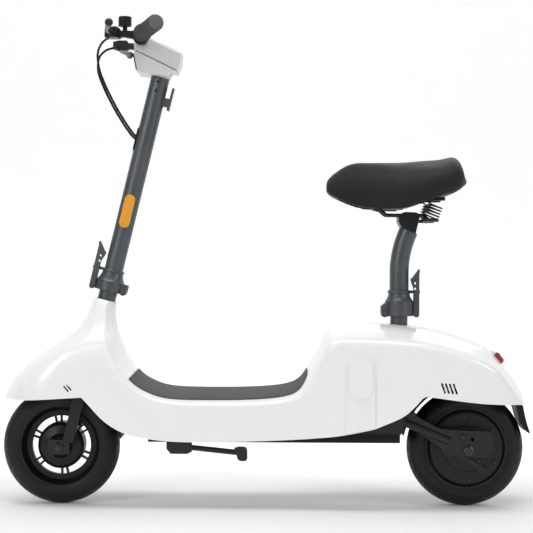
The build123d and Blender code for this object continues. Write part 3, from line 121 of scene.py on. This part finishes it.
white = finish_of("shell_white", (0.90, 0.90, 0.895), 0.24, grain=900, bump=0.04, depth=0.0002,
                  spread=0.012, rough_spread=0.05, broad=4, coat=0.6, coat_rough=0.08)
light_grey = finish_of("head_grey", (0.62, 0.62, 0.62), 0.36, grain=1200, bump=0.10, depth=0.0002,
                       spread=0.03, rough_spread=0.06, coat=0.2, coat_rough=0.2)
tube_grey = finish_of("tube_grey", (0.098, 0.109, 0.116), 0.42, metal=0.7, grain=2600, bump=0.12,
                      depth=0.0002, spread=0.16, rough_spread=0.07, broad=14, coat=0.08, coat_rough=0.3)
frame_black = finish_of("frame_black", (0.010, 0.010, 0.011), 0.38, grain=1500, bump=0.18, depth=0.0002,
                        spread=0.2, rough_spread=0.1, coat=0.12, coat_rough=0.25, shine=0.35)
plastic_black = finish_of("plastic_black", (0.008, 0.008, 0.0085), 0.55, grain=1800, bump=0.35,
                          depth=0.0003, spread=0.18, rough_spread=0.1, shine=0.25)
mat_grey = finish_of("mat_grey", (0.105, 0.106, 0.108), 0.78, grain=1500, bump=0.7, depth=0.0005,
                     spread=0.22, rough_spread=0.08, shine=0.3, cells=520)
hub_black = finish_of("hub_black", (0.016, 0.016, 0.0165), 0.44, metal=0.2, grain=1300, bump=0.2,
                      depth=0.0002, spread=0.16, rough_spread=0.1, shine=0.35)
rim_black = finish_of("rim_black", (0.009, 0.009, 0.0095), 0.38, metal=0.2, grain=1300, bump=0.15,
                      depth=0.0002, spread=0.16, rough_spread=0.1, shine=0.35)
tyre_rubber = finish_of("tyre_rubber", (0.0065, 0.0065, 0.0068), 0.46, grain=1100, bump=0.3, depth=0.0003,
                        spread=0.22, rough_spread=0.12, broad=16, shine=0.32)
steel = finish_of("steel", (0.50, 0.50, 0.50), 0.30, metal=1.0, grain=800, bump=0.1, depth=0.0002,
                  spread=0.12)
dark_steel = finish_of("dark_steel", (0.06, 0.06, 0.062), 0.36, metal=0.9, grain=900, bump=0.12,
                       depth=0.0002, spread=0.2)
grip_rubber = finish_of("grip_rubber", (0.050, 0.050, 0.051), 0.68, grain=2400, bump=0.4, depth=0.0003,
                        spread=0.15, shine=0.3)
cap_grey = finish_of("cap_grey", (0.125, 0.125, 0.127), 0.55, grain=1500, bump=0.2, spread=0.12, shine=0.3)
amber = finish_of("amber", (0.86, 0.36, 0.012), 0.26, grain=700, bump=0.6, depth=0.0004, spread=0.10,
                  cells=900, coat=0.6, coat_rough=0.08)
red = finish_of("tail_red", (0.34, 0.010, 0.012), 0.2, grain=500, bump=0.3, depth=0.0004, spread=0.14,
                cells=420, coat=0.8, coat_rough=0.05)
smoked = finish_of("smoked", (0.012, 0.012, 0.014), 0.12, grain=400, bump=0.05, spread=0.1,
                   rough_spread=0.04, coat=0.9, coat_rough=0.04)
leather = finish_of("saddle_black", (0.0075, 0.0075, 0.0078), 0.50, grain=1300, bump=0.42, depth=0.0005,
                    spread=0.25, rough_spread=0.10, broad=22, sheen=0.02, shine=0.28, cells=700)
cable_black = finish_of("cable_black", (0.007, 0.007, 0.007), 0.55, grain=900, bump=0.10, spread=0.15,
                        shine=0.2)
battery_blue = finish_of("battery_wrap", (0.03, 0.05, 0.12), 0.35, grain=300, bump=0.2, spread=0.2)
cast = finish_of("cast_aluminium", (0.42, 0.43, 0.44), 0.5, metal=0.8, grain=900, bump=0.4, spread=0.15)

finishes = {
    white: ["front_shell", "rear_shell", "side_strip_left", "side_strip_right", "charge_door"],
    light_grey: ["head_housing", "head_cover"],
    tube_grey: ["stem_tube", "stem_collar", "stem_base_cup", "stem_latch_lever", "seat_base_cup", "seat_collar",
                "seat_post", "seat_latch_lever", "bag_hook"],
    frame_black: ["main_frame", "fork", "kickstand_bracket", "kickstand_leg", "rear_brake_arm", "handlebar",
                  "brake_perch_left", "brake_perch_right", "brake_lever_left", "brake_lever_right", "seat_clamp",
                  "saddle_rails", "saddle_springs"],
    plastic_black: ["belly_tray", "front_splash_guard", "rear_splash_guard", "rear_mudflap", "charge_socket",
                    "bell_base", "bell_cap", "power_button", "saddle_base"],
    mat_grey: ["floor_mat"],
    hub_black: ["motor_hub", "motor_cover", "rear_brake_plate", "front_brake_plate"],
    rim_black: ["front_rim"],
    tyre_rubber: ["front_tyre", "rear_tyre"],
    steel: ["rear_axle", "front_axle", "motor_stator"],
    grip_rubber: ["grip_left", "throttle_grip"],
    amber: ["stem_reflectors"],
    red: ["tail_light"],
    smoked: ["headlight_lens"],
    leather: ["saddle_cushion"],
    cable_black: ["cable_grommet", "brake_cable_left", "brake_cable_right"],
    battery_blue: ["battery_pack"],
    cast: ["controller"],
}
for material, names in finishes.items():
    for name in names:
        if not nodes[name].material_slots:
            nodes[name].data.materials.append(material)
        for slot in nodes[name].material_slots:
            slot.material = material


# ------------------------------------------------------------------ mesh helpers
def piece(name, verts, faces, material, body, smooth=True, replaces=()):
    """A new mesh piece that rides on a body, and stands for the CAD nodes it replaces."""
    mesh = bpy.data.meshes.new(name)
    mesh.from_pydata([tuple(v) for v in verts], [], faces)
    mesh.update()
    for polygon in mesh.polygons:
        polygon.use_smooth = smooth
    obj = bpy.data.objects.new(name, mesh)
    bpy.context.scene.collection.objects.link(obj)
    obj.data.materials.append(material)
    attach(obj, body)
    if replaces:
        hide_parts(*replaces)
    return obj


def frame_at(origin, way):
    """Matrix whose local Z points along way, at origin."""
    return Matrix.Translation(Vector(origin)) @ Vector(way).to_track_quat("Z", "Y").to_matrix().to_4x4()


def turned(name, origin, way, profile, material, body, sides=32, hexed=(), smooth=True):
    """A turned piece: profile is (radius, height) from one end to the other; the rings in hexed are hexagons."""
    place = frame_at(origin, way)
    verts, faces = [], []
    for count, (radius, height) in enumerate(profile):
        for step in range(sides):
            angle = 2 * pi * step / sides
            reach = radius
            if count in hexed:
                reach = radius * cos(pi / 6) / cos((angle % (pi / 3)) - pi / 6)
            verts.append(place @ Vector((reach * cos(angle), reach * sin(angle), height)))
    for ring in range(len(profile) - 1):
        for step in range(sides):
            a, b = ring * sides + step, ring * sides + (step + 1) % sides
            faces.append((a, b, b + sides, a + sides))
    faces.append(tuple(range(sides - 1, -1, -1)))
    last = (len(profile) - 1) * sides
    faces.append(tuple(range(last, last + sides)))
    obj = piece(name, verts, faces, material, body, smooth)
    mark_sharp(obj)
    return obj


def mark_sharp(obj, angle=35):
    """Keep corners over that angle crisp."""
    mesh = obj.data
    mesh.set_sharp_from_angle(angle=radians(angle))


def screw(name, origin, way, radius, body, material=None, height=None):
    """Socket screw: domed head with a hexagonal socket."""
    height = height or radius * 0.7
    profile = [(radius, 0), (radius, height * 0.6), (radius * 0.82, height * 0.95), (radius * 0.55, height),
               (radius * 0.5, height), (radius * 0.5, height * 0.35), (radius * 0.05, height * 0.3)]
    return turned(name, origin, way, profile, material or dark_steel, body, sides=24, hexed=(4, 5))


def tube(name, points, radius, material, body):
    """A smooth round tube along points."""
    curve = bpy.data.curves.new(name, "CURVE")
    curve.dimensions = "3D"
    curve.bevel_depth = radius
    curve.bevel_resolution = 3
    curve.use_fill_caps = True
    spline = curve.splines.new("NURBS")
    spline.points.add(len(points) - 1)
    for point, co in zip(spline.points, points):
        point.co = (*co, 1)
    spline.order_u = 3
    spline.use_endpoint_u = True
    helper = bpy.data.objects.new(name + "_path", curve)
    bpy.context.scene.collection.objects.link(helper)
    bpy.context.view_layer.update()
    mesh = bpy.data.meshes.new_from_object(helper.evaluated_get(bpy.context.evaluated_depsgraph_get()))
    bpy.data.objects.remove(helper)
    mesh.name = name
    obj = bpy.data.objects.new(name, mesh)
    bpy.context.scene.collection.objects.link(obj)
    obj.data.materials.clear()
    obj.data.materials.append(material)
    for polygon in mesh.polygons:
        polygon.use_smooth = True
    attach(obj, body)
    return obj


# ------------------------------------------------------------------ places, from the frame
joints = {joint["name"]: joint for joint in frame["joints"]}
front_axle = Vector(joints["front_wheel_spin"]["pos_m"])
rear_axle = Vector(joints["rear_wheel_spin"]["pos_m"])


# ------------------------------------------------------------------ tyres
def tyre(name, node, axle, body):
    """Road tyre: smooth walls, a shoulder line, cross grooves on the shoulder and three grooves round the crown."""
    around, across = 360, 56
    middle_radius, tall, wide = 0.100, 0.0275, 0.0315
    spread = radians(128)
    verts, faces = [], []
    for step in range(around):
        angle = 2 * pi * step / around
        for count in range(across + 1):
            lean = -spread + 2 * spread * count / across
            turn = abs(lean)
            cut = 0.0
            for line in (0.0, radians(21), radians(-21)):
                cut = max(cut, 0.0016 * max(0.0, 1 - abs(lean - line) / radians(3.2)))
            if radians(24) < turn < radians(54):
                phase = (step + (3 if lean > 0 else 0) + 6 * (turn - radians(24)) / radians(30)) % 12
                cut = max(cut, 0.0015 * max(0.0, 1 - abs(phase - 6) / 1.6))
            cut = max(cut, 0.0007 * max(0.0, 1 - abs(turn - radians(62)) / radians(3.5)))
            ridge = 0.0006 * max(0.0, 1 - abs(turn - radians(112)) / radians(5))
            radius = middle_radius + (tall - cut) * cos(lean)
            side = (wide - cut + ridge) * sin(lean)
            verts.append(axle + Vector((radius * cos(angle), side, radius * sin(angle))))
    for step in range(around):
        nxt = (step + 1) % around
        for count in range(across):
            a, b = step * (across + 1) + count, nxt * (across + 1) + count
            faces.append((a, a + 1, b + 1, b))
    obj = piece(name, verts, faces, tyre_rubber, body, replaces=(node,))
    wall = obj.modifiers.new("wall", "SOLIDIFY")
    wall.thickness = 0.003
    wall.offset = -1.0
    return obj


tyre("tyre_front", "front_tyre", front_axle, "front_wheel")
tyre("tyre_rear", "rear_tyre", rear_axle, "rear_wheel")

# ------------------------------------------------------------------ saddle
saddle_low, saddle_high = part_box("saddle_cushion")


def copy_of(node, name):
    mesh = nodes[node].data.copy()
    mesh.name = name
    obj = bpy.data.objects.new(name, mesh)
    bpy.context.scene.collection.objects.link(obj)
    obj.data.materials.clear()
    return obj


def apply_modifiers(obj):
    bpy.context.view_layer.update()
    mesh = bpy.data.meshes.new_from_object(obj.evaluated_get(bpy.context.evaluated_depsgraph_get()))
    obj.modifiers.clear()
    obj.data = mesh


cloth_frames = 12
cloth_reach = 0.004
saddle = copy_of("saddle_cushion", "saddle")
saddle.data.materials.append(leather)
remesh = saddle.modifiers.new("remesh", "REMESH")
remesh.mode = "VOXEL"
remesh.voxel_size = 0.0038
apply_modifiers(saddle)
start = [v.co.copy() for v in saddle.data.vertices]
cloth = saddle.modifiers.new("cloth", "CLOTH")
cloth.settings.use_pressure = True
cloth.settings.uniform_pressure_force = 2.5
cloth.settings.effector_weights.gravity = 0
cloth.settings.tension_stiffness = 60
cloth.settings.compression_stiffness = 60
cloth.settings.bending_stiffness = 8
for count in range(1, cloth_frames + 1):
    bpy.context.scene.frame_set(count)
apply_modifiers(saddle)
for v, old in zip(saddle.data.vertices, start):
    move = v.co - old
    if move.length > cloth_reach:
        v.co = old + move.normalized() * cloth_reach
bpy.context.scene.frame_set(1)
smoother = saddle.modifiers.new("smooth", "SMOOTH")
smoother.iterations = 6
subdivision = saddle.modifiers.new("subdivision", "SUBSURF")
subdivision.levels = 1
subdivision.render_levels = 1
apply_modifiers(saddle)
for v in saddle.data.vertices:
    v.co.x = min(max(v.co.x, saddle_low.x), saddle_high.x)
    v.co.z = min(max(v.co.z, saddle_low.z), saddle_high.z + 0.001)
for polygon in saddle.data.polygons:
    polygon.use_smooth = True
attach(saddle, "saddle")
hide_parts("saddle_cushion")

# ------------------------------------------------------------------ grips
grip_length = 0.124
bar_way = {side: Vector((0.0455, side * 0.146, 0.0045)).normalized() for side in (-1, 1)}
side_names = {-1: "left", 1: "right"}


def grip_start(side):
    return Vector((-0.275, 0.125 * side, 1.010)) + bar_way[side] * 0.026


def grip(name, node, side, body):
    """Rubber grip with rings of ribs, a flange and a smooth outer cap."""
    length = grip_length
    profile = [(0.0115, 0.0), (0.0190, 0.0004), (0.0195, 0.0012), (0.0195, 0.0034), (0.0175, 0.0042)]
    count = 26
    for rib in range(count):
        at = 0.006 + (length - 0.016) * rib / count
        step = (length - 0.016) / count
        profile += [(0.0160, at), (0.0168, at + 0.25 * step), (0.0170, at + 0.5 * step), (0.0168, at + 0.8 * step)]
    profile += [(0.0170, length - 0.009), (0.0170, length - 0.004), (0.0164, length - 0.001), (0.0120, length)]
    return turned(name, grip_start(side), bar_way[side], profile, grip_rubber, body, sides=48)


left_grip = grip("grip_left_ribbed", "grip_left", -1, "stem")
right_grip = grip("grip_right_ribbed", "throttle_grip", 1, "throttle")
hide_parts("grip_left")
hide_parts("throttle_grip")
for side, body in ((-1, "stem"), (1, "throttle")):
    turned("grip_cap_" + side_names[side], grip_start(side) + bar_way[side] * grip_length, bar_way[side],
           [(0.0150, -0.001), (0.0150, 0.0018), (0.0142, 0.0028), (0.0130, 0.0031), (0.002, 0.0032)],
           cap_grey, body, sides=32)

# ------------------------------------------------------------------ screws and small details


def screw_ring(name, count, first, circle, side, radius, body):
    """Screws on a circle round the rear axle, facing left; first is the first one's angle in degrees."""
    for step in range(count):
        angle = radians(first + 360 / count * step)
        at = rear_axle + Vector((circle * cos(angle), side, circle * sin(angle)))
        screw(f"{name}_{step}", at, (0, -1, 0), radius, body)


screw_ring("motor_screw", 6, -25, 0.069, -0.0352, 0.0042, "rear_wheel")
screw_ring("brake_plate_screw", 3, 75, 0.036, -0.0498, 0.0035, "frame")
stay_bolt = (0.422, -0.0718, 0.156)
turned("stay_bolt", stay_bolt, (0, -1, 0),
       [(0.0065, 0), (0.0065, 0.004), (0.0055, 0.005), (0.003, 0.005), (0.003, 0.008), (0.0012, 0.009)],
       dark_steel, "frame", sides=24, hexed=(0, 1, 2))
turned("axle_cap_left", rear_axle + Vector((0, -0.0800, 0)), (0, -1, 0),
       [(0.0095, 0.0), (0.0095, 0.003), (0.0070, 0.0042), (0.0068, 0.0056), (0.001, 0.0056)],
       dark_steel, "frame", sides=32)
for side in (-1, 1):
    turned("fork_axle_nut_" + side_names[side], front_axle + Vector((0, side * 0.0555, 0)),
           (0, side, 0), [(0.0095, 0.0), (0.0095, 0.0060), (0.0080, 0.0072), (0.0055, 0.0072), (0.0050, 0.0100),
                          (0.0010, 0.0108)], dark_steel, "steering", sides=24, hexed=(0, 1, 2))
    for k, (dx, dz) in enumerate(((-0.0075, 0.0085), (-0.0075, -0.0085), (0.0145, 0.0))):
        screw(f"fork_screw_{side_names[side]}_{k}", front_axle + Vector((dx, side * 0.0558, dz)),
              (0, side, 0), 0.0024, "steering")

# display glass, set in the slope of the head cover
slope = radians(25)
slope_normal = Vector((sin(slope), 0, cos(slope)))
slope_way = Vector((cos(slope), 0, -sin(slope)))


def rounded_plate(name, middle, along, across, normal, size, corner, thickness, material, body):
    """Flat plate with round corners, its top face at thickness above middle."""
    rim = []
    for quarter, (sx, sy) in enumerate(((1, 1), (-1, 1), (-1, -1), (1, -1))):
        for step in range(7):
            angle = pi / 2 * (quarter + step / 6)
            rim.append((sx * (size[0] / 2 - corner) + corner * cos(angle),
                        sy * (size[1] / 2 - corner) + corner * sin(angle)))
    rings = [(1.0, 0.0), (1.0, 0.7 * thickness), (0.985, thickness)]
    verts = [middle + along * (x * scale) + across * (y * scale) + normal * height
             for scale, height in rings for x, y in rim]
    sides = len(rim)
    faces = [tuple(range(2 * sides, 3 * sides))]
    for ring in range(2):
        for step in range(sides):
            a, b = ring * sides + step, ring * sides + (step + 1) % sides
            faces.append((a, b, b + sides, a + sides))
    faces.append(tuple(range(sides - 1, -1, -1)))
    return piece(name, verts, faces, material, body, smooth=False)


rounded_plate("display_glass", Vector((-0.2440, 0, 1.0105)), slope_way, Vector((0, 1, 0)), slope_normal,
              (0.024, 0.056), 0.004, 0.0009, smoked, "stem")

# ferrules where the brake cables leave the levers' barrels
barrel_way = Vector((-23, -33, -11)).normalized()
for side, name in side_names.items():
    way = Vector((barrel_way.x, side * barrel_way.y, barrel_way.z))
    turned(f"cable_ferrule_{name}", Vector((-0.341, side * 0.084, 1.014)) + way * 0.0110, way,
           [(0.0032, 0.0), (0.0032, 0.006), (0.0029, 0.0068), (0.0026, 0.0068)], dark_steel, "stem", sides=24)
    # clamp screw of the lever's perch
    screw(f"perch_screw_{name}", (-0.2750, side * 0.092, 1.0262), (0, 0, 1), 0.0030, "stem")

# return spring of the stand
stand_low = Vector((-0.1900, -0.0885, 0.1260))
coil_turns, coil_steps, coil_radius, coil_pitch = 8, 16, 0.0030, 0.0018
coil = []
for step in range(coil_turns * coil_steps + 1):
    angle = 2 * pi * step / coil_steps
    along = coil_pitch * step / coil_steps
    coil.append(stand_low + Vector((along, coil_radius * cos(angle), coil_radius * sin(angle))))
tube("stand_spring", coil, 0.0006, dark_steel, "frame")

# ------------------------------------------------------------------ stage, light and camera
def stage_mesh():
    """Floor that curves up into a backdrop, glowing as painted light towards the back."""
    verts, faces = [], []
    outline = [(-14.0, 0.0)] + [(3.2, 0.0)]
    for step in range(1, 13):
        angle = pi / 2 * step / 12
        outline.append((3.2 + 2.6 * sin(angle), 2.6 - 2.6 * cos(angle)))
    outline.append((5.8, 14.0))
    for y, z in outline:
        verts += [(-18, y, z - 0.0004), (18, y, z - 0.0004)]
    for step in range(len(outline) - 1):
        faces.append((2 * step, 2 * step + 1, 2 * step + 3, 2 * step + 2))
    mesh = bpy.data.meshes.new("studio")
    mesh.from_pydata(verts, [], faces)
    for polygon in mesh.polygons:
        polygon.use_smooth = True
    obj = bpy.data.objects.new("studio", mesh)
    bpy.context.scene.collection.objects.link(obj)
    paper = bpy.data.materials.new("studio_paper")
    paper.use_nodes = True
    shader = paper.node_tree.nodes["Principled BSDF"]
    shader.inputs["Base Color"].default_value = (0.94, 0.94, 0.94, 1)
    shader.inputs["Roughness"].default_value = 0.9
    # Painted light: the paper glows white. There is no glow up to 0.25 m behind the scooter, rising to 0.42 by 1.6
    # m, so the floor and backdrop behind read bright while the floor under the scooter keeps its shadow.
    shader.inputs["Emission Color"].default_value = (1, 1, 1, 1)
    spot = paper.node_tree.nodes.new("ShaderNodeNewGeometry")
    parts = paper.node_tree.nodes.new("ShaderNodeSeparateXYZ")
    backdrop_painted_glow = paper.node_tree.nodes.new("ShaderNodeMapRange")
    backdrop_painted_glow.inputs["From Min"].default_value = 0.25
    backdrop_painted_glow.inputs["From Max"].default_value = 1.6
    backdrop_painted_glow.inputs["To Min"].default_value = 0.0
    backdrop_painted_glow.inputs["To Max"].default_value = 0.42
    paper.node_tree.links.new(spot.outputs["Position"], parts.inputs[0])
    paper.node_tree.links.new(parts.outputs["Y"], backdrop_painted_glow.inputs["Value"])
    paper.node_tree.links.new(backdrop_painted_glow.outputs[0], shader.inputs["Emission Strength"])
    obj.data.materials.append(paper)


stage_mesh()
world = bpy.data.worlds.new("studio_light")
bpy.context.scene.world = world
world.use_nodes = True
sky = world.node_tree
direction = sky.nodes.new("ShaderNodeTexCoord")
height = sky.nodes.new("ShaderNodeSeparateXYZ")
strength = sky.nodes.new("ShaderNodeMapRange")
strength.inputs["From Min"].default_value = 0.0
strength.inputs["From Max"].default_value = 0.7
strength.inputs["To Min"].default_value = 0.24
strength.inputs["To Max"].default_value = 0.42
sky.links.new(direction.outputs["Generated"], height.inputs[0])
sky.links.new(height.outputs["Z"], strength.inputs["Value"])
sky.links.new(strength.outputs[0], sky.nodes["Background"].inputs["Strength"])
sky.nodes["Background"].inputs["Color"].default_value = (1, 1, 1, 1)


def area_light(name, at, target, size, power):
    light = bpy.data.lights.new(name, "AREA")
    light.shape = "RECTANGLE"
    light.size, light.size_y = size
    light.energy = power
    obj = bpy.data.objects.new(name, light)
    obj.location = at
    obj.rotation_euler = (Vector(target) - Vector(at)).to_track_quat("-Z", "Y").to_euler()
    bpy.context.scene.collection.objects.link(obj)


area_light("top_light", (-0.2, -0.6, 3.2), (0, 0, 0.4), (2.6, 1.0), 44)
area_light("front_light", (-2.2, -2.8, 1.8), (0, 0, 0.5), (1.6, 1.6), 31)
area_light("rear_light", (2.6, -1.8, 1.6), (0, 0, 0.5), (0.8, 1.6), 17)
area_light("back_light", (0.5, 2.4, 2.2), (0, 0, 0.5), (2.4, 1.0), 10)

bpy.context.scene.view_settings.view_transform = "Standard"
bpy.context.scene.view_settings.look = "None"
camera_data = bpy.data.cameras.new("camera")
camera = bpy.data.objects.new("camera", camera_data)
bpy.context.scene.collection.objects.link(camera)
camera_distance = 3.4
view_width = 1.1726
camera_data.sensor_width = 36.0
camera_data.lens = 36.0 * camera_distance / view_width
camera_data.shift_y = 0.0028
camera_data.clip_end = 60
camera.matrix_world = (
    Matrix.Translation((-0.0032, -camera_distance, 0.5178)) @ Matrix.Rotation(radians(90), 4, "X")
    @ Matrix.Rotation(radians(0.33), 4, "Z")
)
bpy.context.scene.camera = camera
